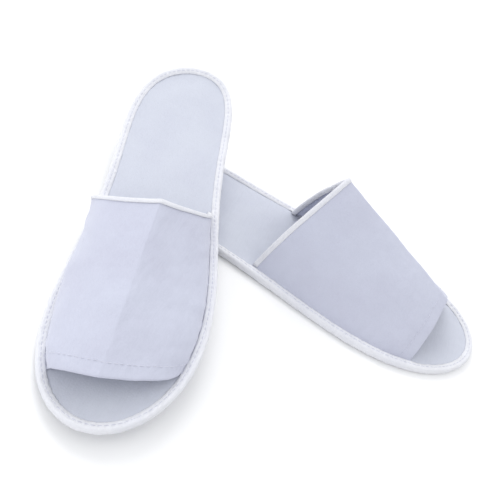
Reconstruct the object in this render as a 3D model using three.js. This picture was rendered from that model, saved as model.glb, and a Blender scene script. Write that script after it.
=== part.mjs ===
// A pair of open-toe spa slippers: the right one lies flat, the left one leans across its heel.
// Millimetres, +Z up. The origin is on the floor, under the middle of the right slipper's sole.
import * as THREE from 'three';
import { mergeVertices } from 'three/addons/utils/BufferGeometryUtils.js';

// ---------- driving dimensions ----------
const SOLE_LENGTH = 280;
// Half width = sin t * (sum of terms * cos kt), with t = 0 at the heel and pi at the toe.
const HALF_WIDTH_TERMS = [55.6, -1.7, 13.7, 4.2];
// The middle line bows towards the little toe by sin^2 t * (sum of terms * cos kt).
const BOW_TERMS = [-2.6, -9, -3.2];

const GAP = 0.3;              // between pieces that touch
const TAPE = 0.5;             // edge binding tape
const OUTSOLE = 1.9;
const SPONGE = 1.1;
const INSOLE = 0.5;
const UPPER = 0.5;
const LINING = 0.4;
const FLAP = 5.5;             // how far the edge binding reaches in over the sole, above and below
const CORE_INSET = 0.8;       // the sole layers stop this far inside the binding's outer face
const EDGE_ROUND = 0.7;       // chamfer of the binding's outer corners
const THREAD_RADIUS = 0.25;
const THREAD_SIDES = 6;

// Heights of the layers above the floor
const OUTSOLE_TOP = OUTSOLE;
const SPONGE_BASE = OUTSOLE_TOP + GAP;
const SPONGE_TOP = SPONGE_BASE + SPONGE;
const INSOLE_BASE = SPONGE_TOP + GAP;
const INSOLE_TOP = INSOLE_BASE + INSOLE;
const ALLOWANCE_TOP = INSOLE_TOP + GAP + UPPER;
const SOLE_HEIGHT = ALLOWANCE_TOP + GAP + TAPE;
const MID_HEIGHT = SOLE_HEIGHT / 2;

// The upper: where its edges meet the sole (mm from the heel) and where its crease runs.
// A crease point is [towards the little toe, from the heel, above the floor]. At the throat a panel
// flares outwards by a share of its width, and its edge sweeps towards the toe (mm).
const FOOT_INSET = FLAP + 0.8;
const ALLOWANCE_INSET = 1.6;
const THROAT_FOOT = { big_toe: 122, little_toe: 114 };
const TOE_FOOT = { big_toe: 255, little_toe: 240 };
const THROAT_TAPE = 0.4;
const THROAT_TAPE_WIDTH = 3.5;
const TOE_HEM = 8;

const SLIPPERS = {
  left: {
    hand: 1, place: [-58.9, -190.8, 9.1], turn: { heading: 13.4, pitch: 0.7, roll: -9.4 },
    flatLength: 130, heelCurl: 29,
    crease: { throat: [6, 160, 54], toe: [0, 260, 23] },
    panel: { big_toe: { lean: -0.05, flare: 0.42, wall: 0.52, shoulder: 0.55, drop: 0.06, sweep: 6.2 },
      little_toe: { lean: -0.08, flare: 0.17, wall: 0.5, shoulder: 0.27, drop: 0.1, sweep: 2.2 } },
  },
  right: {
    hand: -1, place: [SOLE_LENGTH / 2, 0, MID_HEIGHT], turn: { heading: 90, pitch: 0, roll: 0 },
    flatLength: SOLE_LENGTH, heelCurl: 0,
    crease: { throat: [-5, 141, 78], toe: [0, 242, 34] },
    panel: { big_toe: { lean: 0.2, flare: 0, wall: 0.42, shoulder: 0.36, drop: 0.28, sweep: -2 },
      little_toe: { lean: 0.22, flare: -0.22, wall: 0.42, shoulder: 0.4, drop: 0.12, sweep: -3 } },
  },
};

const LOOP_STEPS = 32;        // stations along each side of the sole
const CENTRE_MARGIN = 34;     // the sole layers' middle line stops this far from both ends
const PANEL_STEPS = 5;        // even steps on each side of the crease
const LENGTH_STEPS = 8;
const EVEN_STATIONS = 0.8;    // the stations across a panel are evenly spaced up to here
const NEAR_FOOT = 0.93;       // the lining and the throat tape stop here, just above the sole

const SIDE = { big_toe: -1, little_toe: 1 };
const COLOURS = { binding: 0xf2f2fb, fabric: 0xdcdeec, insole: 0xdfe4ee, lining: 0xd2d5e4,
  foam: 0xe6e8ee, sponge: 0xe9e6da, thread: 0xf6f6fc };

// ---------- the sole's outline ----------
const series = (terms, t) => terms.reduce((sum, term, k) => sum + term * Math.cos(k * t), 0);
const halfWidth = (t) => Math.sin(t) * series(HALF_WIDTH_TERMS, t);
const bow = (t) => Math.sin(t) ** 2 * series(BOW_TERMS, t);
const fromHeel = (t) => SOLE_LENGTH * (1 - Math.cos(t)) / 2;
const angleAt = (y) => Math.acos(1 - 2 * y / SOLE_LENGTH);

// A point inset from the outline, on one side (-1 big toe, 1 little toe): [across, from the heel]
function edgePoint(side, t, inset) {
  const step = 1e-4;
  const at = (a) => [bow(a) + side * halfWidth(a), fromHeel(a)];
  const [x, y] = at(t);
  const [ahead, behind] = [at(t + step), at(t - step)];
  const [dx, dy] = [ahead[0] - behind[0], ahead[1] - behind[1]];
  const length = Math.hypot(dx, dy);
  return [x - side * inset * dy / length, y + side * inset * dx / length];
}

// The loop of stations around the sole, from the heel up one side and back down the other
function loopStations() {
  const stations = [];
  for (let i = 0; i < LOOP_STEPS; i += 1) stations.push([1, Math.PI * i / LOOP_STEPS]);
  for (let i = LOOP_STEPS; i > 0; i -= 1) stations.push([-1, Math.PI * i / LOOP_STEPS]);
  return stations;
}

// ---------- from the flat pattern to the slipper's own frame ----------
// The pattern's [across, from the heel, height] becomes a point with the toe at the origin and the
// heel along +Y. Behind the flat length the sole curls up along an arc.
function bender({ hand, flatLength, heelCurl }) {
  const curvature = heelCurl * Math.PI / 180 / Math.max(SOLE_LENGTH - flatLength, 1);
  return ([x, y, z]) => {
    const along = SOLE_LENGTH - y;
    if (!curvature || along <= flatLength) return new THREE.Vector3(hand * x, along, z);
    const angle = (along - flatLength) * curvature;
    const radius = 1 / curvature - (z - MID_HEIGHT);
    return new THREE.Vector3(hand * x, flatLength + radius * Math.sin(angle),
      MID_HEIGHT + 1 / curvature - radius * Math.cos(angle));
  };
}

// ---------- solids from grids of points ----------
// Joins quads into one closed geometry, leaving out the triangles that shrink to nothing.
function solidFromQuads(quads, mirrored) {
  const positions = [];
  const addTriangle = (a, b, c) => {
    const area = new THREE.Triangle(a, b, c).getArea();
    if (area < 1e-5) return;
    for (const p of mirrored ? [a, c, b] : [a, b, c]) positions.push(p.x, p.y, p.z);
  };
  for (const [a, b, c, d] of quads) {
    addTriangle(a, b, c);
    addTriangle(a, c, d);
  }
  const geometry = new THREE.BufferGeometry();
  geometry.setAttribute('position', new THREE.Float32BufferAttribute(positions, 3));
  const merged = mergeVertices(geometry, 1e-3);
  merged.computeVertexNormals();
  return merged;
}

// Sweeps a profile of [inset, height] points around the sole. A null inset lies on the middle line,
// so a profile from middle to middle makes a plate, and a closed profile makes a ring.
function sweepAround(profile, closed, slipper) {
  const bend = bender(slipper);
  const rings = loopStations().map(([side, t]) => profile.map(([inset, z]) => {
    if (inset !== null) return bend([...edgePoint(side, t, inset), z]);
    const y = Math.min(Math.max(fromHeel(t), CENTRE_MARGIN), SOLE_LENGTH - CENTRE_MARGIN);
    return bend([bow(angleAt(y)), y, z]);
  }));
  const quads = [];
  const columns = closed ? profile.length : profile.length - 1;
  rings.forEach((ring, i) => {
    const next = rings[(i + 1) % rings.length];
    for (let j = 0; j < columns; j += 1) {
      const k = (j + 1) % profile.length;
      quads.push([ring[j], ring[k], next[k], next[j]]);
    }
  });
  return solidFromQuads(quads, slipper.hand < 0);
}

// Outward normals of a grid of points, by differences between neighbours
function gridNormals(grid, hand) {
  return grid.map((row, i) => row.map((_, j) => {
    const across = new THREE.Vector3().subVectors(
      row[Math.min(j + 1, row.length - 1)], row[Math.max(j - 1, 0)]);
    const along = new THREE.Vector3().subVectors(
      grid[Math.min(i + 1, grid.length - 1)][j], grid[Math.max(i - 1, 0)][j]);
    return across.cross(along).normalize().multiplyScalar(-hand);
  }));
}

// A sheet with thickness: the grid moved along its normals by two distances, and joined at the rim
function sheetSolid(grid, outerShift, innerShift, hand) {
  const normals = gridNormals(grid, hand);
  const shifted = (distance) => grid.map((row, i) => row.map((p, j) =>
    p.clone().addScaledVector(normals[i][j], distance)));
  const [outer, inner] = [shifted(outerShift), shifted(innerShift)];
  const [rows, columns] = [grid.length, grid[0].length];
  const quads = [];
  for (let i = 0; i < rows - 1; i += 1) {
    for (let j = 0; j < columns - 1; j += 1) {
      quads.push([outer[i][j], outer[i + 1][j], outer[i + 1][j + 1], outer[i][j + 1]]);
      quads.push([inner[i][j], inner[i][j + 1], inner[i + 1][j + 1], inner[i + 1][j]]);
    }
    quads.push([outer[i][0], inner[i][0], inner[i + 1][0], outer[i + 1][0]]);
    const last = columns - 1;
    quads.push([outer[i][last], outer[i + 1][last], inner[i + 1][last], inner[i][last]]);
  }
  for (let j = 0; j < columns - 1; j += 1) {
    quads.push([outer[0][j], outer[0][j + 1], inner[0][j + 1], inner[0][j]]);
    const last = rows - 1;
    quads.push([outer[last][j], inner[last][j], inner[last][j + 1], outer[last][j + 1]]);
  }
  return solidFromQuads(quads, hand < 0);
}

// ---------- the upper's surface ----------
const mix = (a, b, k) => a + (b - a) * k;

// Across the upper: |u| = 1 at the sole, 0 at the crease; u < 0 on the big toe's side.
// Along it: v = 0 at the throat, 1 at the toe edge.
function upperPoint(slipper, u, v) {
  const name = u < 0 ? 'big_toe' : 'little_toe';
  const { lean, flare, wall, shoulder, drop, sweep } = slipper.panel[name];
  const side = SIDE[name];
  const footY = mix(THROAT_FOOT[name], TOE_FOOT[name], v);
  const [footX, footYInset] = edgePoint(side, angleAt(footY), FOOT_INSET);
  const foot = new THREE.Vector3(footX, footYInset, ALLOWANCE_TOP);
  const crest = new THREE.Vector3(...slipper.crease.throat)
    .lerp(new THREE.Vector3(...slipper.crease.toe), v);
  const span = Math.abs(crest.x - foot.x);
  const [run, rise] = [crest.y - foot.y, crest.z - foot.z];
  const atThroat = (1 - v) ** 2;
  const inwards = (lean - flare * atThroat) * span;
  const lower = new THREE.Vector3(foot.x - side * inwards, foot.y + wall * run + sweep * atThroat,
    foot.z + wall * rise);
  const upper = new THREE.Vector3(crest.x + side * shoulder * span,
    crest.y - drop * run + sweep * atThroat, crest.z - drop * rise);
  return new THREE.CubicBezierCurve3(foot, lower, upper, crest).getPoint(1 - Math.abs(u));
}

// The seam allowance that lies under the edge binding
function allowancePoint(name, v) {
  const y = mix(THROAT_FOOT[name], TOE_FOOT[name], v);
  return [...edgePoint(SIDE[name], angleAt(y), ALLOWANCE_INSET), ALLOWANCE_TOP];
}

const upperLength = ({ crease }) => new THREE.Vector3(...crease.throat)
  .distanceTo(new THREE.Vector3(...crease.toe));

function steps(from, to, count) {
  return Array.from({ length: count + 1 }, (_, i) => mix(from, to, i / count));
}

// Stations across the upper, from the big toe's side to the little toe's, and along it.
// All of its layers share them, so that their facets stay parallel.
function stationsAcross() {
  const half = [...steps(0, EVEN_STATIONS, PANEL_STEPS).slice(1), NEAR_FOOT];
  return [...half.map((u) => -u).reverse(), 0, ...half];
}

function stationsAlong(slipper) {
  const clear = (THROAT_TAPE_WIDTH + 1) / upperLength(slipper);
  return steps(clear, 1 - clear, LENGTH_STEPS);
}

// Grid rows run along the upper, columns run across it
function upperGrid(slipper, us, vs, withAllowance) {
  const bend = bender(slipper);
  return vs.map((v) => {
    const row = us.map((u) => bend(upperPoint(slipper, u, v).toArray()));
    if (!withAllowance) return row;
    return [bend(allowancePoint('big_toe', v)), ...row, bend(allowancePoint('little_toe', v))];
  });
}

// ---------- the pieces of one slipper ----------
function outsole(slipper) {
  const recess = TAPE + GAP;
  return sweepAround([[null, 0], [FLAP + 2 * GAP, 0], [FLAP + GAP, recess], [CORE_INSET, recess],
    [CORE_INSET, OUTSOLE_TOP], [null, OUTSOLE_TOP]], false, slipper);
}

function plate(base, top, slipper) {
  return sweepAround([[null, base], [CORE_INSET, base], [CORE_INSET, top], [null, top]], false, slipper);
}

function edgeBinding(slipper) {
  const [inner, top] = [TAPE, SOLE_HEIGHT];
  return sweepAround([[FLAP, 0], [EDGE_ROUND, 0], [0, EDGE_ROUND], [0, top - EDGE_ROUND],
    [EDGE_ROUND, top], [FLAP, top], [FLAP, top - inner], [inner, top - inner],
    [inner, inner], [FLAP, inner]], true, slipper);
}

function bindingStitching(slipper) {
  const height = SOLE_HEIGHT + GAP + THREAD_RADIUS;
  const ring = Array.from({ length: THREAD_SIDES }, (_, i) => {
    const angle = -2 * Math.PI * i / THREAD_SIDES;
    return [FLAP / 2 + THREAD_RADIUS * Math.cos(angle), height + THREAD_RADIUS * Math.sin(angle)];
  });
  return sweepAround(ring, true, slipper);
}

function upperSheet(slipper) {
  const us = [-1, ...stationsAcross(), 1];
  const vs = [0, ...stationsAlong(slipper), 1];
  return sheetSolid(upperGrid(slipper, us, vs, true), 0, -UPPER, slipper.hand);
}

function upperLining(slipper) {
  const grid = upperGrid(slipper, stationsAcross(), stationsAlong(slipper), false);
  return sheetSolid(grid, -UPPER - GAP, -UPPER - GAP - LINING, slipper.hand);
}

// A tape folded over the throat edge: one leaf outside the upper, one inside
function throatBinding(slipper) {
  const length = upperLength(slipper);
  const grid = upperGrid(slipper, stationsAcross(), [0, THROAT_TAPE_WIDTH / length], false);
  const normals = gridNormals(grid, slipper.hand);
  const back = grid[0].map((p, j) => new THREE.Vector3().subVectors(p, grid[1][j]).setLength(GAP));
  const leaf = (row, shift, behind) => grid[row].map((p, j) => {
    const point = p.clone().addScaledVector(normals[row][j], shift);
    return behind ? point.add(back[j]) : point;
  });
  const [outside, inside] = [GAP, -UPPER - GAP];
  const fold = [leaf(1, inside, false), leaf(0, inside, true), leaf(0, outside, true),
    leaf(1, outside, false)];
  return sheetSolid(fold, THROAT_TAPE, 0, slipper.hand);
}

// A flat thread across the upper, this far along it, lifted off the cloth
function stitchLine(slipper, distance, lift) {
  const length = upperLength(slipper);
  const rows = [distance - THREAD_RADIUS, distance + THREAD_RADIUS].map((d) => d / length);
  const grid = upperGrid(slipper, stationsAcross(), rows, false);
  return sheetSolid(grid, lift + THREAD_RADIUS, lift, slipper.hand);
}

const throatStitching = (slipper) => stitchLine(slipper, THROAT_TAPE_WIDTH / 2,
  GAP + THROAT_TAPE + GAP);
const toeStitching = (slipper) => stitchLine(slipper, upperLength(slipper) - TOE_HEM, GAP);

const PIECES = {
  outsole: [outsole, 'foam', 0.85],
  sponge: [(s) => plate(SPONGE_BASE, SPONGE_TOP, s), 'sponge', 1],
  insole: [(s) => plate(INSOLE_BASE, INSOLE_TOP, s), 'insole', 0.95],
  edge_binding: [edgeBinding, 'binding', 0.9],
  edge_binding_stitching: [bindingStitching, 'thread', 0.8],
  upper: [upperSheet, 'fabric', 0.95],
  upper_lining: [upperLining, 'lining', 0.95],
  throat_binding: [throatBinding, 'binding', 0.9],
  throat_stitching: [throatStitching, 'thread', 0.8],
  toe_hem_stitching: [toeStitching, 'thread', 0.8],
};

function makeSlipper(name, slipper) {
  const body = new THREE.Group();
  body.position.z = -MID_HEIGHT;
  for (const [piece, [build, colour, roughness]] of Object.entries(PIECES)) {
    const material = new THREE.MeshStandardMaterial({ color: COLOURS[colour], roughness, metalness: 0 });
    const mesh = new THREE.Mesh(build(slipper), material);
    mesh.name = `${name}_${piece}`;
    body.add(mesh);
  }
  const { heading, pitch, roll } = slipper.turn;
  const placed = new THREE.Group();
  placed.rotation.set(...[pitch, roll, heading].map(THREE.MathUtils.degToRad), 'ZXY');
  placed.position.set(...slipper.place);
  placed.add(body);
  return placed;
}

const group = new THREE.Group();
for (const [name, slipper] of Object.entries(SLIPPERS)) group.add(makeSlipper(name, slipper));

export default group;
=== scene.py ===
"""The looks of a pair of open-toe spa slippers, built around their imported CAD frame.

Every shape repeats the formulas of the CAD source in millimetres, at a much finer step and with the
puckers, folds and stitches of the real cloth, and becomes metres in the row frame at the very end.
"""
import math

import bpy
import numpy as np
from mathutils import Euler, Matrix, Vector, noise


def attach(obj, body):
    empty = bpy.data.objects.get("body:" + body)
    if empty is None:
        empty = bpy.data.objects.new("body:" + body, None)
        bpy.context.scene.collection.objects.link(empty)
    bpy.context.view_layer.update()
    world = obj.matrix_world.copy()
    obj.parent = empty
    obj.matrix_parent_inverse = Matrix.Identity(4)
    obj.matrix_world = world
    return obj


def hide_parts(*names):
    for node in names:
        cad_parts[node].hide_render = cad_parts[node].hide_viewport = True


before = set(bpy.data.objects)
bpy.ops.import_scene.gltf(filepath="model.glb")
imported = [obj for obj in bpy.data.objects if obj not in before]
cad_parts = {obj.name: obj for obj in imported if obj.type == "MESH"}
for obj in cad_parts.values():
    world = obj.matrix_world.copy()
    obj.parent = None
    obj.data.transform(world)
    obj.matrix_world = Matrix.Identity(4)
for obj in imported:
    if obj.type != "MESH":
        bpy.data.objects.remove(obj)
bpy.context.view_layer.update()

# ---------- the CAD source's dimensions, in millimetres ----------
METRES = 0.001
SOLE_LENGTH = 280
HALF_WIDTH_TERMS = (55.6, -1.7, 13.7, 4.2)
BOW_TERMS = (-2.6, -9, -3.2)
SOLE_HEIGHT = 5.7
MID_HEIGHT = SOLE_HEIGHT / 2
OUTSOLE_TOP = 1.9
INSOLE_BASE = 3.6
INSOLE_TOP = 4.1
ALLOWANCE_TOP = 4.9
CORE_INSET = 0.8
FLAP = 5.5
FOOT_INSET = 6.3
ALLOWANCE_INSET = 1.6
BIG_TOE, LITTLE_TOE = -1, 1
THROAT_FOOT = {BIG_TOE: 122, LITTLE_TOE: 114}
TOE_FOOT = {BIG_TOE: 255, LITTLE_TOE: 240}
TOE_HEM = 8

SLIPPERS = {
    "left": {
        "hand": 1, "place": (-58.9, -190.8, 9.1),
        "turn": {"heading": 13.4, "pitch": 0.7, "roll": -9.4},
        "flat_length": 130, "heel_curl": 29,
        "crease": ((6, 160, 54), (0, 260, 23)),
        "panel": {BIG_TOE: {"lean": -0.05, "flare": 0.42, "wall": 0.52, "shoulder": 0.55, "drop": 0.06,
                            "sweep": 6.2},
                  LITTLE_TOE: {"lean": -0.08, "flare": 0.17, "wall": 0.5, "shoulder": 0.27, "drop": 0.1,
                               "sweep": 2.2}},
        "seed": 3,
    },
    "right": {
        "hand": -1, "place": (SOLE_LENGTH / 2, 0, MID_HEIGHT),
        "turn": {"heading": 90, "pitch": 0, "roll": 0},
        "flat_length": SOLE_LENGTH, "heel_curl": 0,
        "crease": ((-5, 141, 78), (0, 242, 34)),
        "panel": {BIG_TOE: {"lean": 0.2, "flare": 0, "wall": 0.42, "shoulder": 0.36, "drop": 0.28,
                            "sweep": -2},
                  LITTLE_TOE: {"lean": 0.22, "flare": -0.22, "wall": 0.42, "shoulder": 0.4, "drop": 0.12,
                               "sweep": -3}},
        "seed": 11,
    },
}

# ---------- the cloth's own dimensions, in millimetres ----------
UPPER_CLOTH = 0.5
LINING_CLOTH = 0.4
TAPE_CLOTH = 0.5
THREAD_RADIUS = 0.2
STITCH_PITCH = 3.4
STITCH_LENGTH = 2.7
BINDING_STITCH_INSET = 2.9
THROAT_TAPE_WIDTH = 2.6
THROAT_STITCH = 1.7
HEM_LEAF = 9.5                # how far the turned toe hem reaches back inside
HEM_RADIUS = 0.95
THROAT_RADIUS = 1.1
THROAT_TAPE_CLOTH = 0.35
LINING_GAP = 0.3
FLOOR_GAP = 0.02              # the lowest that any cloth or foam comes to the floor


# ---------- the sole's outline ----------
def series(terms, t):
    return sum(term * np.cos(k * t) for k, term in enumerate(terms))


def half_width(t):
    return np.sin(t) * series(HALF_WIDTH_TERMS, t)


def bow(t):
    return np.sin(t) ** 2 * series(BOW_TERMS, t)


def angle_at(y):
    return np.arccos(1 - 2 * np.asarray(y, float) / SOLE_LENGTH)


def edge_point(side, t, inset):
    """Points inset from the outline, on one side: (across, from the heel)."""
    step = 1e-4

    def at(a):
        return bow(a) + side * half_width(a), SOLE_LENGTH * (1 - np.cos(a)) / 2

    x, y = at(t)
    (x1, y1), (x0, y0) = at(t + step), at(t - step)
    dx, dy = x1 - x0, y1 - y0
    length = np.hypot(dx, dy)
    return x - side * inset * dy / length, y + side * inset * dx / length


def loop_around(count):
    """Sides and angles around the whole sole, from the heel up the little toe's side, equally spaced."""
    t = np.linspace(0, math.pi, 1500)
    sides = np.concatenate([np.ones(len(t)), -np.ones(len(t) - 2)])
    angles = np.concatenate([t, t[-2:0:-1]])
    x, y = edge_point(sides, angles, 0.0)
    steps = np.hypot(np.diff(np.append(x, x[0])), np.diff(np.append(y, y[0])))
    travelled = np.concatenate([[0], np.cumsum(steps)])
    turned = np.concatenate([angles[:len(t)], 2 * math.pi - angles[len(t):], [2 * math.pi]])
    arc = np.linspace(0, travelled[-1], count, endpoint=False)
    turn = np.interp(arc, travelled, turned)
    return np.where(turn <= math.pi, 1.0, -1.0), np.where(turn <= math.pi, turn, 2 * math.pi - turn), arc


PERIMETER = loop_around(2)[2][1] * 2


# ---------- noise on whole arrays ----------
def wander(points, scale, seed, octaves=3):
    """Smooth noise from -1 to 1 on an array of points; scale is the size of its features."""
    flat = np.asarray(points, float).reshape(-1, 3) / scale
    shift = Vector((seed * 7.31, seed * -3.17, seed * 1.93))
    values = [noise.fractal(Vector(p) + shift, 0.6, 2.0, octaves) for p in flat]
    return np.array(values).reshape(np.asarray(points).shape[:-1])


def ripple(position, wavelength, seed):
    """Uneven puckers along a line: two waves whose lengths never agree."""
    a = np.sin(2 * math.pi * position / wavelength + seed)
    b = np.sin(2 * math.pi * position / (wavelength * 1.618) + 2.3 * seed)
    return (a + 0.8 * b) / 1.8


# ---------- from the flat pattern to the row frame ----------
def bend(slipper, points):
    """The pattern's (across, from the heel, height), curled up behind the flat length."""
    x, y, z = np.moveaxis(np.asarray(points, float), -1, 0)
    along = SOLE_LENGTH - y
    if not slipper["heel_curl"]:
        return np.stack([slipper["hand"] * x, along, z], -1)
    flat = slipper["flat_length"]
    curvature = math.radians(slipper["heel_curl"]) / (SOLE_LENGTH - flat)
    past = np.maximum(along - flat, 0)
    radius = 1 / curvature - (z - MID_HEIGHT)
    curled_y = flat + radius * np.sin(past * curvature)
    curled_z = MID_HEIGHT + 1 / curvature - radius * np.cos(past * curvature)
    return np.stack([slipper["hand"] * x, np.where(past > 0, curled_y, along),
                     np.where(past > 0, curled_z, z)], -1)


def to_row(slipper, points):
    """From the slipper's own frame to the row frame, in metres."""
    turn = slipper["turn"]
    rotation = (Matrix.Rotation(math.radians(turn["heading"]), 3, "Z")
                @ Matrix.Rotation(math.radians(turn["pitch"]), 3, "X")
                @ Matrix.Rotation(math.radians(turn["roll"]), 3, "Y"))
    local = np.asarray(points, float) - (0, 0, MID_HEIGHT)
    return (local @ np.array(rotation).T + np.array(slipper["place"])) * METRES


# ---------- meshes ----------
def grid_faces(rows, columns, first=0, wrap=False, flip=False):
    faces = []
    for i in range(rows if wrap else rows - 1):
        for j in range(columns - 1):
            a, b = first + i * columns + j, first + (i + 1) % rows * columns + j
            faces.append((a, a + 1, b + 1, b) if flip else (a, b, b + 1, a + 1))
    return faces


def make_piece(name, slipper, points, faces, material, edge=None):
    """A smooth-shaded mesh object from pattern-frame points that are already bent."""
    mesh = bpy.data.meshes.new(name)
    mesh.from_pydata([tuple(p) for p in to_row(slipper, points)], [], faces)
    if edge is not None:
        mesh.attributes.new("edge", "FLOAT", "POINT").data.foreach_set("value", edge.astype(np.float32))
    mesh.validate()
    mesh.polygons.foreach_set("use_smooth", [True] * len(mesh.polygons))
    piece = bpy.data.objects.new(name, mesh)
    bpy.context.scene.collection.objects.link(piece)
    mesh.materials.append(material)
    outward(mesh)
    return piece


def outward(mesh):
    """Turns a closed mesh's faces outwards, by the sign of its volume."""
    mesh.calc_loop_triangles()
    corners = np.array([[mesh.vertices[v].co for v in tri.vertices] for tri in mesh.loop_triangles])
    corners = corners - corners.reshape(-1, 3).mean(0)
    volume = np.einsum("ij,ij->i", corners[:, 0], np.cross(corners[:, 1], corners[:, 2])).sum()
    if volume < 0:
        mesh.flip_normals()


def two_skins(outer, inner, wrap=False):
    """One closed body between two grids of the same size. wrap joins the last row to the first."""
    rows, columns = outer.shape[:2]
    count = rows * columns
    faces = grid_faces(rows, columns, 0, wrap) + grid_faces(rows, columns, count, wrap, flip=True)
    for i in range(rows if wrap else rows - 1):
        k = (i + 1) % rows
        for j in (0, columns - 1):
            rim = (i * columns + j, count + i * columns + j, count + k * columns + j, k * columns + j)
            faces.append(rim if j == 0 else rim[::-1])
    if not wrap:
        for i in (0, rows - 1):
            for j in range(columns - 1):
                a = i * columns + j
                rim = (a, a + 1, count + a + 1, count + a)
                faces.append(rim if i == 0 else rim[::-1])
    return np.concatenate([outer.reshape(-1, 3), inner.reshape(-1, 3)]), faces


def normals_of(grid, hand):
    """Outward normals of a grid whose rows run along the upper and columns across it."""
    across = np.gradient(grid, axis=1)
    along = np.gradient(grid, axis=0)
    normal = np.cross(across, along) * -hand
    return normal / np.linalg.norm(normal, axis=-1, keepdims=True)


def unit(vectors):
    return vectors / np.linalg.norm(vectors, axis=-1, keepdims=True)


# ---------- the sole ----------
SOLE_ROWS = 230
SOLE_COLUMNS = 96
DIMPLE_PITCH = 5.5
DIMPLE_ROW = DIMPLE_PITCH * 0.866
DIMPLE_DEPTH = 0.55
INSOLE_FULLNESS = 0.75
PUCKER_DEPTH = 0.13
PUCKER_LENGTH = 6.5
HEEL_HOLLOW, BALL_HOLLOW = 0.25, 0.2


def sole_grid(inset):
    """A grid over the sole: rows from heel to toe, columns across. Returns x, y and the edge's distance."""
    t = np.linspace(0.02, math.pi - 0.02, SOLE_ROWS)
    across = np.sin(np.linspace(-math.pi / 2, math.pi / 2, SOLE_COLUMNS)) * 0.35
    across += np.linspace(-1, 1, SOLE_COLUMNS) * 0.65
    left, right = edge_point(-1, t, inset), edge_point(1, t, inset)
    share = (across[None, :] + 1) / 2
    x = left[0][:, None] * (1 - share) + right[0][:, None] * share
    y = left[1][:, None] * (1 - share) + right[1][:, None] * share
    side, angle, _ = loop_around(420)
    edge_x, edge_y = edge_point(side, angle, 0.0)
    distance = np.full(x.shape, 1e9)
    for ex, ey in zip(edge_x, edge_y):
        distance = np.minimum(distance, np.hypot(x - ex, y - ey))
    return x, y, distance


def smooth_step(value, start, end):
    k = np.clip((value - start) / (end - start), 0, 1)
    return k * k * (3 - 2 * k)


def insole(name, slipper, material):
    """The cloth over the sponge: pulled down at the binding and slightly full in the middle."""
    x, y, distance = sole_grid(CORE_INSET)
    flat = np.stack([x, y, np.zeros_like(x)], -1)
    seed = slipper["seed"]
    fullness = INSOLE_FULLNESS * smooth_step(distance, FLAP - 1, 26)
    fullness += 0.16 * wander(flat, 34, seed) + 0.07 * wander(flat, 9, seed + 1)
    around = np.arctan2(y - SOLE_LENGTH / 2, x) * PERIMETER / (2 * math.pi)
    pucker = PUCKER_DEPTH * ripple(around, PUCKER_LENGTH, seed) * smooth_step(distance, FLAP - 1, FLAP + 1)
    fullness += pucker * (1 - smooth_step(distance, FLAP + 1, FLAP + 9))
    heel = np.exp(-((y - 48) / 38) ** 2 - (x / 24) ** 2)
    ball = np.exp(-((y - 200) / 34) ** 2 - ((x + 6) / 30) ** 2)
    fullness -= HEEL_HOLLOW * heel + BALL_HOLLOW * ball
    fullness *= smooth_step(distance, CORE_INSET, FLAP)
    top = bend(slipper, np.stack([x, y, INSOLE_TOP + np.maximum(fullness, -0.3)], -1))
    base = bend(slipper, np.stack([x, y, np.full_like(x, INSOLE_BASE)], -1))
    points, faces = two_skins(top, base)
    edge = np.tile(distance.ravel(), 2)
    return make_piece(name, slipper, points, faces, material, edge)


def outsole(name, slipper, material):
    """Flat foam with rows of round dimples underneath for grip."""
    x, y, distance = sole_grid(CORE_INSET)
    row = np.round(y / DIMPLE_ROW)
    shift = np.where(row % 2 == 0, 0, DIMPLE_PITCH / 2)
    dx = (x + shift) - np.round((x + shift) / DIMPLE_PITCH) * DIMPLE_PITCH
    dy = y - row * DIMPLE_ROW
    dimple = DIMPLE_DEPTH * (1 - smooth_step(np.hypot(dx, dy), 0.9, 2.0))
    dimple *= smooth_step(distance, FLAP + 3, FLAP + 5)
    under_tape = (TAPE_CLOTH + 0.3) * (1 - smooth_step(distance, FLAP - 0.2, FLAP + 0.8))
    base = bend(slipper, np.stack([x, y, dimple + under_tape + FLOOR_GAP], -1))
    top = bend(slipper, np.stack([x, y, np.full_like(x, OUTSOLE_TOP)], -1))
    points, faces = two_skins(top, base)
    return make_piece(name, slipper, points, faces, material, np.tile(distance.ravel(), 2))


# ---------- the edge binding ----------
BINDING_STATIONS = 1000
FLAP_POINTS = 7
ROUND_POINTS = 17
HALF_ROUND = 2.3              # how far in the binding's rounded outside reaches
FLAP_EDGE = 0.22              # how proud the flap's cut edge stands on the cloth that it is sewn to


def over_allowance(side, angle):
    """1 where the upper's seam allowance lies under the binding, 0 elsewhere."""
    y = SOLE_LENGTH * (1 - np.cos(angle)) / 2
    start = np.where(side < 0, THROAT_FOOT[BIG_TOE], THROAT_FOOT[LITTLE_TOE])
    end = np.where(side < 0, TOE_FOOT[BIG_TOE], TOE_FOOT[LITTLE_TOE])
    return smooth_step(y, start - 4, start + 1) * (1 - smooth_step(y, end - 1, end + 4))


def binding_profile(lifted):
    """(inset, height) round the tape's outer face, from the upper inner edge to the lower one."""
    round_angle = np.linspace(math.pi / 2, -math.pi / 2, ROUND_POINTS)
    sine = np.sin(round_angle)
    inset = HALF_ROUND * (1 - np.cos(round_angle) ** 0.85)
    height = MID_HEIGHT + MID_HEIGHT * np.sign(sine) * np.abs(sine) ** 0.8
    flap = np.linspace(FLAP, HALF_ROUND, FLAP_POINTS, endpoint=False)
    inner_edge = np.where(lifted, ALLOWANCE_TOP + FLAP_EDGE, INSOLE_TOP + FLAP_EDGE)
    share = (flap - HALF_ROUND) / (FLAP - HALF_ROUND)
    upper_leaf = SOLE_HEIGHT + (inner_edge - SOLE_HEIGHT) * share ** 1.6
    lower_leaf = 0.12 * share[::-1] ** 2
    return (np.concatenate([flap, inset, flap[::-1]]),
            np.concatenate([upper_leaf, height, lower_leaf]))


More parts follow.
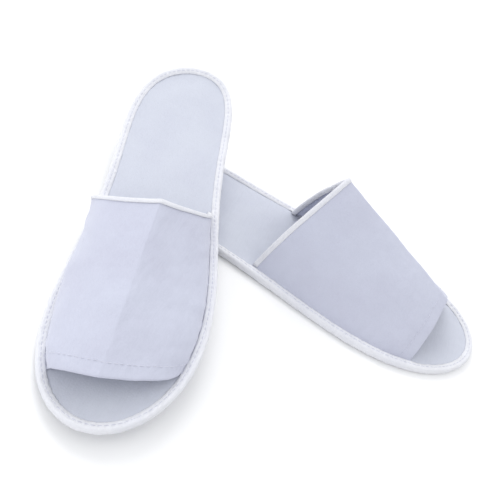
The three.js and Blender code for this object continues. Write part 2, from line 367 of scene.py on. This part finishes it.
def binding_surface(slipper):
    """The binding's outer face as (stations, profile) insets and heights, with its puckers."""
    side, angle, arc = loop_around(BINDING_STATIONS)
    lifted = over_allowance(side, angle)[:, None]
    profile, low = binding_profile(0)
    _, high = binding_profile(1)
    height = low[None, :] * (1 - lifted) + high[None, :] * lifted
    inset = np.repeat(profile[None, :], BINDING_STATIONS, 0)
    inset_step, height_step = np.gradient(inset, axis=1), np.gradient(height, axis=1)
    length = np.hypot(inset_step, height_step)
    out_inset, out_height = height_step / length, -inset_step / length
    turn = arc / PERIMETER * 2 * math.pi
    ring = PERIMETER / (2 * math.pi)
    spot = np.stack([np.broadcast_to((ring * np.cos(turn))[:, None], inset.shape) + height,
                     np.broadcast_to((ring * np.sin(turn))[:, None], inset.shape), inset], -1)
    seed = slipper["seed"]
    channel = np.exp(-((inset - BINDING_STITCH_INSET) / 0.75) ** 2)
    gathered = 0.5 + 0.5 * np.cos(2 * math.pi * arc / stitch_step(PERIMETER))[:, None]
    bulge = 0.2 * wander(spot, 6, seed) + 0.13 * wander(spot, 2.4, seed + 4, 2)
    bulge += 0.1 * ripple(arc, 5.1, seed)[:, None] * smooth_step(inset, 0.5, 3)
    bulge -= channel * (0.2 + 0.14 * gathered)
    bulge = np.where(height < 0.4, np.minimum(bulge, 0), bulge)
    inset = inset + out_inset * bulge
    height = height + out_height * bulge
    return side[:, None], angle[:, None], inset, height, (out_inset, out_height)


def stitch_step(length):
    return length / round(length / STITCH_PITCH)


def edge_binding(name, slipper, material):
    """The tape folded round the sole's edge and over the upper's seam allowance."""
    side, angle, inset, height, out = binding_surface(slipper)
    x, y = edge_point(side, angle, inset)
    outer = bend(slipper, np.stack([x, y, np.maximum(height, FLOOR_GAP)], -1))
    thickness = TAPE_CLOTH * (1 - 0.35 * smooth_step(inset, FLAP - 1.2, FLAP))
    x, y = edge_point(side, angle, inset - out[0] * thickness)
    inner = bend(slipper, np.stack([x, y, np.maximum(height, FLOOR_GAP) - out[1] * thickness], -1))
    points, faces = two_skins(outer, inner, wrap=True)
    return make_piece(name, slipper, points, faces, material, np.tile(inset.ravel(), 2))


# ---------- stitches ----------
STITCH_RINGS = 6
STITCH_SIDES = 6


def stitch_solid(start, end, normal):
    """One stitch: a thread that rises out of the cloth, runs along it and dips in again."""
    along = (end - start) / np.linalg.norm(end - start)
    across = np.cross(normal, along)
    rings = []
    for k in range(STITCH_RINGS):
        share = k / (STITCH_RINGS - 1)
        rise = math.sin(math.pi * share) ** 0.5
        centre = start + (end - start) * share + normal * THREAD_RADIUS * (1.1 * rise - 0.5)
        radius = THREAD_RADIUS * (0.45 + 0.55 * rise)
        for s in range(STITCH_SIDES):
            a = 2 * math.pi * s / STITCH_SIDES
            rings.append(centre + radius * (math.cos(a) * across + math.sin(a) * normal))
    return rings


def stitch_faces(first):
    faces = [tuple(first + s for s in range(STITCH_SIDES))]
    for k in range(STITCH_RINGS - 1):
        for s in range(STITCH_SIDES):
            a, b = first + k * STITCH_SIDES, first + (k + 1) * STITCH_SIDES
            n = (s + 1) % STITCH_SIDES
            faces.append((a + n, a + s, b + s, b + n))
    faces.append(tuple(first + (STITCH_RINGS - 1) * STITCH_SIDES + s for s in range(STITCH_SIDES))[::-1])
    return faces


def stitch_run(name, slipper, lines, material):
    """Stitches along lines of (points, normals), at the stitch pitch."""
    points, faces = [], []
    for line, normals in lines:
        steps = np.linalg.norm(np.diff(line, axis=0), axis=1)
        travelled = np.concatenate([[0], np.cumsum(steps)])
        pitch = stitch_step(travelled[-1])
        half = STITCH_LENGTH / 2
        for k in range(round(travelled[-1] / pitch)):
            middle = (k + 0.5) * pitch
            start, end, normal = (
                np.array([np.interp(at, travelled, source[:, axis]) for axis in range(3)])
                for at, source in ((middle - half, line), (middle + half, line), (middle, normals)))
            faces += stitch_faces(len(points))
            points += stitch_solid(start, end, normal / np.linalg.norm(normal))
    return make_piece(name, slipper, np.array(points), faces, material)


def binding_stitching(name, slipper, material):
    """One row of stitches on the tape's upper leaf and one on its lower leaf."""
    side, angle, inset, height, _ = binding_surface(slipper)
    lines = []
    for upper_face in (True, False):
        columns = slice(0, FLAP_POINTS) if upper_face else slice(-FLAP_POINTS, None)
        near = np.argmin(np.abs(inset[0, columns] - BINDING_STITCH_INSET))
        column = near if upper_face else inset.shape[1] - FLAP_POINTS + near
        lift, out = (0.05, 1) if upper_face else (0.1, -1)
        x, y = edge_point(side[:, 0], angle[:, 0], inset[:, column])
        z = np.maximum(height[:, column], FLOOR_GAP) + lift
        line = bend(slipper, np.stack([x, y, z], -1))
        normals = bend(slipper, np.stack([x, y, z + out], -1)) - line
        lines.append((np.concatenate([line, line[:1]]), np.concatenate([normals, normals[:1]])))
    return stitch_run(name, slipper, lines, material)


# ---------- the upper ----------
ACROSS_STEPS = 64
ALONG_STEPS = 92
# Where cloth pulls in from a side: (side, start along the upper, slant, depth)
PULLS = ((BIG_TOE, 0.12, 0.9, 0.55), (BIG_TOE, 0.5, -0.6, 0.4), (LITTLE_TOE, 0.2, 0.8, 0.5),
         (LITTLE_TOE, 0.62, -0.7, 0.45), (LITTLE_TOE, 0.9, -0.3, 0.35), (BIG_TOE, 0.86, 0.4, 0.4))


def upper_length(slipper):
    throat, toe = (np.array(p, float) for p in slipper["crease"])
    return np.linalg.norm(toe - throat)


def upper_surface(slipper, u, v):
    """The upper's outer face in the pattern frame, smooth, as the CAD source has it."""
    u, v = np.broadcast_arrays(np.asarray(u, float), np.asarray(v, float))
    result = np.zeros(u.shape + (3,))
    throat, toe = (np.array(p, float) for p in slipper["crease"])
    for side in (BIG_TOE, LITTLE_TOE):
        panel = slipper["panel"][side]
        foot_y = THROAT_FOOT[side] + (TOE_FOOT[side] - THROAT_FOOT[side]) * v
        foot_x, foot_y = edge_point(side, angle_at(foot_y), FOOT_INSET)
        foot = np.stack([foot_x, foot_y, np.full_like(foot_x, ALLOWANCE_TOP)], -1)
        crest = throat + (toe - throat) * v[..., None]
        span = np.abs(crest[..., 0] - foot[..., 0])
        run, rise = crest[..., 1] - foot[..., 1], crest[..., 2] - foot[..., 2]
        at_throat = (1 - v) ** 2
        inwards = (panel["lean"] - panel["flare"] * at_throat) * span
        sweep = panel["sweep"] * at_throat
        low = np.stack([foot[..., 0] - side * inwards, foot[..., 1] + panel["wall"] * run + sweep,
                        foot[..., 2] + panel["wall"] * rise], -1)
        high = np.stack([crest[..., 0] + side * panel["shoulder"] * span,
                         crest[..., 1] - panel["drop"] * run + sweep,
                         crest[..., 2] - panel["drop"] * rise], -1)
        k = (1 - np.abs(u))[..., None]
        point = ((1 - k) ** 3 * foot + 3 * (1 - k) ** 2 * k * low
                 + 3 * (1 - k) * k ** 2 * high + k ** 3 * crest)
        here = (u < 0) if side == BIG_TOE else (u >= 0)
        result[here] = point[here]
    return result


def folds(slipper, u, v):
    """How far the cloth stands off its smooth shape: soft hollows, pulls from the seams, small puckers."""
    u, v = np.broadcast_arrays(np.asarray(u, float), np.asarray(v, float))
    seed = slipper["seed"]
    spot = np.stack([u * 62, v * 110, np.full_like(u, seed)], -1)
    free = smooth_step(1 - np.abs(u), 0.0, 0.22)
    held = np.exp(-((1 - np.abs(u)) / 0.13) ** 2) * smooth_step(1 - np.abs(u), 0.0, 0.05)
    soft = 1.0 * wander(spot, 38, seed, 2) + 0.35 * wander(spot * (1, 0.55, 1), 13, seed + 2)
    pulls = np.zeros_like(u)
    for side, at, slant, depth in PULLS:
        away = 1 - side * u
        line = v - at - slant * 0.22 * away
        pulls += depth * np.exp(-(line / (0.03 + 0.03 * away)) ** 2) * np.exp(-((away - 0.22) / 0.3) ** 2)
    pucker = 0.34 * ripple(v * 118 + 6 * np.sign(u), 7.7, seed) * held
    crossing = 0.12 * wander(spot, 5, seed + 7, 2)
    return (soft + 1.5 * pulls) * free + pucker + crossing * free


def upper_grid(slipper, us, vs):
    """Rows along the upper, columns across it, bent and folded, with its outward normals."""
    u, v = us[None, :], vs[:, None]
    smooth = bend(slipper, upper_surface(slipper, u, v))
    normal = normals_of(smooth, slipper["hand"])
    grid = smooth + normal * folds(slipper, u, v)[..., None]
    return grid, normals_of(grid, slipper["hand"])


def across_stations(limit=1.0):
    """Stations across the upper, closer together at the crease and at the sole."""
    even = np.linspace(0, 1, ACROSS_STEPS)
    half = limit * (0.8 * even + 0.2 * even ** 2)
    return np.concatenate([-half[:0:-1], half])


def folded_sheet(slipper, us, path, thickness):
    """A sheet that follows a path of (distance from the throat, height off the cloth, overhang) rows."""
    length = upper_length(slipper)
    vs = np.clip(path[:, 0] / length, 0, 1)
    base_vs = np.unique(np.concatenate([vs, np.linspace(0, 1, ALONG_STEPS)]))
    grid, normal = upper_grid(slipper, us, base_vs)
    forward = unit(np.gradient(grid, axis=0))
    rows = np.searchsorted(base_vs, vs)
    points = grid[rows] + normal[rows] * path[:, 1, None, None] + forward[rows] * path[:, 2, None, None]
    tangent = unit(np.gradient(path[:, 1:] + np.stack([np.zeros(len(path)), path[:, 0]], -1), axis=0))
    off, ahead = tangent[:, 1], -tangent[:, 0]
    shift = normal[rows] * off[:, None, None] + forward[rows] * ahead[:, None, None]
    return points, points - shift * thickness


def turn_over(distance, lift, radius, direction, count=9):
    """A half turn of cloth at an edge: rows of (distance, height off the cloth, overhang)."""
    angle = np.linspace(0, math.pi, count)
    return np.stack([np.full(count, distance), lift - radius + radius * np.cos(angle),
                     direction * radius * np.sin(angle)], -1)


def allowance(slipper, side, vs):
    """The outer edge of the upper's seam allowance, which lies under the binding."""
    y = THROAT_FOOT[side] + (TOE_FOOT[side] - THROAT_FOOT[side]) * vs
    x, y = edge_point(side, angle_at(y), ALLOWANCE_INSET)
    return bend(slipper, np.stack([x, y, np.full_like(x, ALLOWANCE_TOP)], -1))


def upper(name, slipper, material):
    """The outer cloth, with its toe edge turned under and its sides running under the binding."""
    length = upper_length(slipper)
    end = length - HEM_RADIUS
    out = np.linspace(0, end, ALONG_STEPS)
    path = np.concatenate([
        np.stack([out, np.zeros_like(out), np.zeros_like(out)], -1),
        turn_over(end, 0, HEM_RADIUS, 1)[1:-1],
        np.stack([np.linspace(end, length - HEM_LEAF, 9), np.full(9, -2 * HEM_RADIUS), np.zeros(9)], -1)])
    outer, inner = folded_sheet(slipper, across_stations(), path, UPPER_CLOTH)
    vs = np.clip(path[:, 0] / length, 0, 1)
    skins = []
    for skin, drop in ((outer, 0.0), (inner, UPPER_CLOTH)):
        sides = []
        for side in (BIG_TOE, LITTLE_TOE):
            under = allowance(slipper, side, vs)
            under[..., 2] += np.interp(path[:, 1], (-2 * HEM_RADIUS, 0), (-0.35, 0)) - 0.7 * drop
            sides.append(under[:, None, :])
        skins.append(np.concatenate([sides[0], skin, sides[1]], 1))
    points, faces = two_skins(*skins)
    away = np.minimum(path[:, 0], length - path[:, 0])
    edge = np.tile(np.repeat(away, skins[0].shape[1]), 2)
    return make_piece(name, slipper, points, faces, material, edge)


def lining(name, slipper, material):
    """The inner cloth, close under the upper, from the throat to the toe hem."""
    length = upper_length(slipper)
    along = np.linspace(0.6, length - 6, ALONG_STEPS)
    path = np.stack([along, np.full_like(along, -UPPER_CLOTH - LINING_GAP), np.zeros_like(along)], -1)
    outer, inner = folded_sheet(slipper, across_stations(0.975), path, LINING_CLOTH)
    points, faces = two_skins(outer, inner)
    return make_piece(name, slipper, points, faces, material)


def throat_path():
    """The throat tape's way over the edge, as rows for folded_sheet."""
    radius = THROAT_RADIUS
    leaf = np.linspace(THROAT_TAPE_WIDTH, radius * 0.8, 5)
    swell = np.array([0.12, 0.34, 0.46, 0.5, 0.5])
    outside = np.stack([leaf, swell, np.zeros(5)], -1)
    fold = turn_over(radius * 0.8, 0.5, radius, -1)[1:-1]
    inside = np.stack([leaf[::-1], np.full(5, 0.5 - 2 * radius), np.zeros(5)], -1)
    return np.concatenate([outside, fold, inside])


def throat_binding(name, slipper, material):
    """A narrow tape rolled over the throat's edge."""
    outer, inner = folded_sheet(slipper, across_stations(0.995), throat_path(), THROAT_TAPE_CLOTH)
    points, faces = two_skins(outer, inner)
    return make_piece(name, slipper, points, faces, material)


def stitch_line_across(slipper, distance, lift, limit):
    length = upper_length(slipper)
    us = across_stations(limit)
    vs = np.array([distance - 1, distance, distance + 1]) / length
    grid, normal = upper_grid(slipper, us, vs)
    return grid[1] + normal[1] * lift, normal[1]


def throat_stitching(name, slipper, material):
    return stitch_run(name, slipper, [stitch_line_across(slipper, THROAT_STITCH, 0.52, 0.97)], material)


def toe_hem_stitching(name, slipper, material):
    distance = upper_length(slipper) - TOE_HEM
    return stitch_run(name, slipper, [stitch_line_across(slipper, distance, 0.05, 0.97)], material)


# ---------- materials ----------
def add(tree, kind, **values):
    """A shader node with its settings and inputs. i0 means input 0; a pair (node, output) is linked."""
    node = tree.nodes.new(kind)
    for key, value in values.items():
        if hasattr(node, key):
            setattr(node, key, value)
            continue
        socket = node.inputs[int(key[1:])] if key[0] == "i" and key[1:].isdigit() else node.inputs[key]
        if isinstance(value, tuple) and isinstance(value[0], bpy.types.Node):
            tree.links.new(value[0].outputs[value[1]], socket)
        else:
            socket.default_value = value
    return node


def blank_material(name):
    material = bpy.data.materials.new(name)
    material.use_nodes = True
    tree = material.node_tree
    tree.nodes.clear()
    output = tree.nodes.new("ShaderNodeOutputMaterial")
    shader = tree.nodes.new("ShaderNodeBsdfPrincipled")
    tree.links.new(shader.outputs["BSDF"], output.inputs["Surface"])
    where = tree.nodes.new("ShaderNodeTexCoord")
    return material, tree, shader, where


def noise_at(tree, where, scale, detail=3.0, stretch=(1, 1, 1), turn=(0, 0, 0)):
    mapping = add(tree, "ShaderNodeMapping", Vector=(where, "Object"), Scale=stretch, Rotation=turn)
    return add(tree, "ShaderNodeTexNoise", Vector=(mapping, "Vector"), Scale=scale, Detail=detail)


def ramp(tree, source, low, high):
    return add(tree, "ShaderNodeMapRange", i0=(source[0], source[1]), i1=low, i2=high)


def math_node(tree, operation, a, b):
    return add(tree, "ShaderNodeMath", operation=operation, i0=a, i1=b)


def fibres(tree, where, density):
    """Fine fibres laid at random: thin ridges in noise stretched three ways."""
    found = None
    for k, turn in enumerate(((0.2, 0.1, 0.3), (1.1, 0.4, 1.35), (0.5, 1.2, 2.4))):
        strands = noise_at(tree, where, density * (1 + 0.13 * k), 2.0, (1, 0.07, 1), turn)
        centred = math_node(tree, "SUBTRACT", (strands, "Fac"), 0.5)
        ridge = add(tree, "ShaderNodeMath", operation="ABSOLUTE", i0=(centred, "Value"))
        thin = add(tree, "ShaderNodeMapRange", i0=(ridge, "Value"), i1=0.0, i2=0.06, i3=1.0, i4=0.0)
        found = thin if found is None else math_node(tree, "MAXIMUM", last(found), last(thin))
    return found


def last(node):
    return (node, "Result" if node.bl_idname == "ShaderNodeMapRange" else "Value")


def mix_colour(tree, share, a, b):
    node = tree.nodes.new("ShaderNodeMix")
    node.data_type = "RGBA"
    colour_inputs = {"a": node.inputs[6], "b": node.inputs[7], "share": node.inputs[0]}
    for key, value in (("share", share), ("a", a), ("b", b)):
        if isinstance(value, tuple) and isinstance(value[0], bpy.types.Node):
            tree.links.new(value[0].outputs[value[1]], colour_inputs[key])
        else:
            colour_inputs[key].default_value = value
    return node


def rgba(colour, factor=1.0):
    return (*(c * factor for c in colour), 1.0)


def nonwoven(name, colour, shade, roughness=0.9, sheen=0.35, relief=0.25, emboss=0.0, fuzz=0.3):
    """Bonded non-woven cloth: uneven web, loose fibres, faint bonding points, and painted shade darkening
    it near its edges.
    """
    material, tree, shader, where = blank_material(name)
    cloud = noise_at(tree, where, 30, 4)
    web = noise_at(tree, where, 210, 5)
    fine = noise_at(tree, where, 900, 3)
    strands = fibres(tree, where, 620)
    tone = mix_colour(tree, last(ramp(tree, (cloud, "Fac"), 0.34, 0.68)), rgba(colour), rgba(shade))
    uneven = add(tree, "ShaderNodeMapRange", i0=(web, "Fac"), i1=0.3, i2=0.7, i3=0.0, i4=1.0)
    webbed = math_node(tree, "MULTIPLY", last(uneven), 0.45)
    tone = mix_colour(tree, last(webbed), (tone, 2), rgba(colour, 0.955))
    bright = math_node(tree, "MULTIPLY", last(strands), 0.22)
    tone = mix_colour(tree, last(bright), (tone, 2), rgba(colour, 1.09))
    # painted shade: the cloth darkens towards its shade colour within 3 mm of a piece's edge, read from the
    # edge attribute
    edge = add(tree, "ShaderNodeAttribute", attribute_name="edge")
    edge_shade = add(tree, "ShaderNodeMapRange", i0=(edge, "Fac"), i1=0.0, i2=3.0, i3=0.12, i4=0.0)
    tone = mix_colour(tree, last(edge_shade), (tone, 2), rgba(shade, 0.86))
    tree.links.new(tone.outputs[2], shader.inputs["Base Color"])
    height = math_node(tree, "MULTIPLY", (fine, "Fac"), 0.35)
    height = math_node(tree, "ADD", last(height), last(math_node(tree, "MULTIPLY", last(strands), fuzz)))
    height = math_node(tree, "ADD", last(height), last(math_node(tree, "MULTIPLY", (web, "Fac"), 0.8)))
    if emboss:
        points = add(tree, "ShaderNodeTexVoronoi", Vector=(where, "Object"), Scale=640.0)
        dots = add(tree, "ShaderNodeMapRange", i0=(points, "Distance"), i1=0.15, i2=0.42, i3=0.0, i4=1.0)
        height = math_node(tree, "ADD", last(height), last(math_node(tree, "MULTIPLY", last(dots), emboss)))
    bump = add(tree, "ShaderNodeBump", Height=last(height), Strength=relief, Distance=0.0006)
    tree.links.new(bump.outputs["Normal"], shader.inputs["Normal"])
    gloss = add(tree, "ShaderNodeMapRange", i0=(web, "Fac"), i1=0.3, i2=0.7, i3=roughness - 0.06,
                i4=min(roughness + 0.06, 1.0))
    tree.links.new(gloss.outputs[0], shader.inputs["Roughness"])
    shader.inputs["Sheen Weight"].default_value = sheen
    shader.inputs["Sheen Roughness"].default_value = 0.45
    shader.inputs["Specular IOR Level"].default_value = 0.25
    return material


def foam(name, colour, cell, relief):
    """Closed-cell foam: packed round cells, with a few larger open ones, their hollows shown by painted
    shade.
    """
    material, tree, shader, where = blank_material(name)
    cells = add(tree, "ShaderNodeTexVoronoi", Vector=(where, "Object"), Scale=1 / cell)
    open_cells = add(tree, "ShaderNodeTexVoronoi", Vector=(where, "Object"), Scale=0.28 / cell)
    cloud = noise_at(tree, where, 45, 4)
    tone = mix_colour(tree, last(ramp(tree, (cloud, "Fac"), 0.3, 0.7)), rgba(colour), rgba(colour, 0.9))
    # painted shade: the larger open cells are darkened to 0.7 of the foam's colour, standing in for their
    # hollows
    pore_shade = add(tree, "ShaderNodeMapRange", i0=(open_cells, "Distance"), i1=0.0, i2=0.35, i3=0.35, i4=0.0)
    tone = mix_colour(tree, last(pore_shade), (tone, 2), rgba(colour, 0.7))
    tree.links.new(tone.outputs[2], shader.inputs["Base Color"])
    swell = math_node(tree, "MULTIPLY", (cloud, "Fac"), 0.5)
    height = math_node(tree, "ADD", (cells, "Distance"), last(swell))
    bump = add(tree, "ShaderNodeBump", Height=last(height), Strength=relief, Distance=0.0005)
    tree.links.new(bump.outputs["Normal"], shader.inputs["Normal"])
    rough = add(tree, "ShaderNodeMapRange", i0=(cells, "Distance"), i1=0.0, i2=0.6, i3=0.62, i4=0.85)
    tree.links.new(rough.outputs[0], shader.inputs["Roughness"])
    return material


def thread(name, colour):
    """Spun polyester thread: a fine twist and a soft shine."""
    material, tree, shader, where = blank_material(name)
    twist = add(tree, "ShaderNodeTexWave", Vector=(where, "Object"), Scale=900.0, Distortion=3.0)
    lint = noise_at(tree, where, 2400, 2)
    # painted shade: the twist's grooves, low in its bump, are darkened to 0.9 of the thread's colour
    tone = mix_colour(tree, (twist, "Fac"), rgba(colour, 0.9), rgba(colour))
    tone = mix_colour(tree, last(ramp(tree, (lint, "Fac"), 0.35, 0.75)), (tone, 2), rgba(colour, 1.05))
    tree.links.new(tone.outputs[2], shader.inputs["Base Color"])
    bump = add(tree, "ShaderNodeBump", Height=(twist, "Fac"), Strength=0.4, Distance=0.0001)
    tree.links.new(bump.outputs["Normal"], shader.inputs["Normal"])
    rough = ramp(tree, (lint, "Fac"), 0.3, 0.8)
    rough.inputs[3].default_value, rough.inputs[4].default_value = 0.55, 0.75
    tree.links.new(rough.outputs[0], shader.inputs["Roughness"])
    shader.inputs["Sheen Weight"].default_value = 0.2
    return material


MATERIALS = {
    "upper_cloth": nonwoven("upper_cloth", (0.575, 0.595, 0.70), (0.53, 0.54, 0.645), emboss=0.25),
    "insole_cloth": nonwoven("insole_cloth", (0.60, 0.625, 0.70), (0.555, 0.575, 0.66),
                             0.88, 0.25, 0.2, 0.35),
    "lining_cloth": nonwoven("lining_cloth", (0.56, 0.58, 0.70), (0.51, 0.53, 0.65), 0.95, 0.2, 0.3),
    "binding_tape": nonwoven("binding_tape", (0.84, 0.845, 0.88), (0.75, 0.76, 0.82),
                             0.85, 0.5, 0.45, 0.0, 0.7),
    "foam_outsole": foam("foam_outsole", (0.62, 0.64, 0.70), 0.0009, 0.3),
    "sponge": foam("sponge", (0.80, 0.78, 0.66), 0.0016, 0.8),
    "thread": thread("thread", (0.66, 0.67, 0.76)),
}

PIECES = {
    "outsole": (outsole, "foam_outsole"),
    "insole": (insole, "insole_cloth"),
    "edge_binding": (edge_binding, "binding_tape"),
    "edge_binding_stitching": (binding_stitching, "thread"),
    "upper": (upper, "upper_cloth"),
    "upper_lining": (lining, "lining_cloth"),
    "throat_binding": (throat_binding, "binding_tape"),
    "throat_stitching": (throat_stitching, "thread"),
    "toe_hem_stitching": (toe_hem_stitching, "thread"),
}


def make_slipper(name, slipper):
    """All the pieces of one slipper, tied to the slipper's body, with the CAD parts that they replace
    hidden.
    """
    body = f"{name}_slipper"
    for part, (build, slot) in PIECES.items():
        piece = build(f"{name}_{part}_soft", slipper, MATERIALS[slot])
        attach(piece, body)
        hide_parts(f"{name}_{part}")
    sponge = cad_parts[f"{name}_sponge"]
    sponge.data.materials.clear()
    sponge.data.materials.append(MATERIALS["sponge"])


for slipper_name, slipper_shape in SLIPPERS.items():
    make_slipper(slipper_name, slipper_shape)


# ---------- the stage, the light and the camera ----------
FLOOR_REACH = 6.0
FLOOR_HEIGHT = -0.0004


def floor():
    mesh = bpy.data.meshes.new("floor")
    corners = ((-1, -1), (1, -1), (1, 1), (-1, 1))
    mesh.from_pydata([(FLOOR_REACH * x, FLOOR_REACH * y, FLOOR_HEIGHT) for x, y in corners],
                     [], [(0, 1, 2, 3)])
    plane = bpy.data.objects.new("floor", mesh)
    bpy.context.scene.collection.objects.link(plane)
    material, tree, shader, where = blank_material("floor_white")
    shade = noise_at(tree, where, 3, 2)
    tone = mix_colour(tree, (shade, "Fac"), (0.93, 0.93, 0.93, 1), (0.95, 0.95, 0.95, 1))
    tree.links.new(tone.outputs[2], shader.inputs["Base Color"])
    shader.inputs["Roughness"].default_value = 0.9
    mesh.materials.append(material)


def soft_light(name, place, target, size, power, colour=(1, 1, 1)):
    light = bpy.data.lights.new(name, "AREA")
    light.shape = "DISK"
    light.size = size
    light.energy = power
    light.color = colour
    lamp = bpy.data.objects.new(name, light)
    bpy.context.scene.collection.objects.link(lamp)
    lamp.location = place
    lamp.rotation_euler = (Vector(target) - Vector(place)).to_track_quat("-Z", "Y").to_euler()


def surroundings(strength):
    world = bpy.data.worlds.new("studio")
    bpy.context.scene.world = world
    world.use_nodes = True
    background = world.node_tree.nodes["Background"]
    background.inputs["Color"].default_value = (0.97, 0.98, 1.0, 1.0)
    background.inputs["Strength"].default_value = strength


CAMERA_TARGET = Vector((-31.6, -19.1, 2.85)) * METRES
CAMERA_DISTANCE = 0.446
CAMERA_ELEVATION = 45.8
CAMERA_ROLL = 29.0
CAMERA_LENS = 46.63


def camera():
    data = bpy.data.cameras.new("camera")
    data.sensor_width = 36
    data.lens = CAMERA_LENS
    data.clip_start = 0.01
    data.clip_end = 50
    eye = bpy.data.objects.new("camera", data)
    bpy.context.scene.collection.objects.link(eye)
    tilt = Euler((math.radians(90 - CAMERA_ELEVATION), 0, 0)).to_matrix()
    roll = Matrix.Rotation(math.radians(CAMERA_ROLL), 3, "Z")
    turned = (tilt @ roll).to_4x4()
    turned.translation = CAMERA_TARGET + tilt @ Vector((0, 0, CAMERA_DISTANCE))
    eye.matrix_world = turned
    bpy.context.scene.camera = eye


floor()
surroundings(0.88)
soft_light("key", (-0.42, 0.55, 0.75), (-0.05, 0.05, 0), 0.6, 3.3)
soft_light("top", (0.3, 0.4, 0.9), (0, 0, 0), 0.9, 1.6)
soft_light("fill", (-0.7, -0.8, 0.38), (0.05, -0.05, 0.02), 1.0, 2.8, (0.98, 0.985, 1.0))
camera()
bpy.context.scene.view_settings.view_transform = "Standard"
